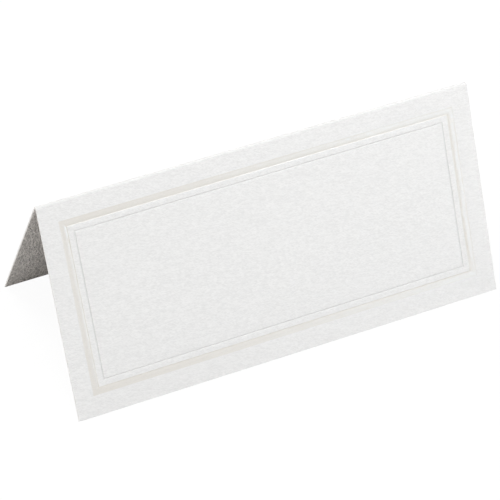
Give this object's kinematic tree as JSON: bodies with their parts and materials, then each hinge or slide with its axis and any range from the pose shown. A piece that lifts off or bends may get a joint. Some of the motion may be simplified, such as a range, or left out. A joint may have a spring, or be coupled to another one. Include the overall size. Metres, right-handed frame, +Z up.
{
  "type": "folded place card",
  "caption": "Tent-folded white place card in heavy card stock, with a pressed pearl-edged frame round the bare writing panel on its front.",
  "frame": {"origin": "on the table, under the middle of the standing card", "axes": "+X along the fold, to the right of someone reading the front panel; -Y out of the front, decorated side; +Z up"},
  "size_m": [0.1048, 0.0462, 0.0455],
  "materials": {
    "card_stock": "matte, felt-marked white card"
  },
  "bodies": {
    "root": {"card": "card_stock"}
  },
  "joints": []
}
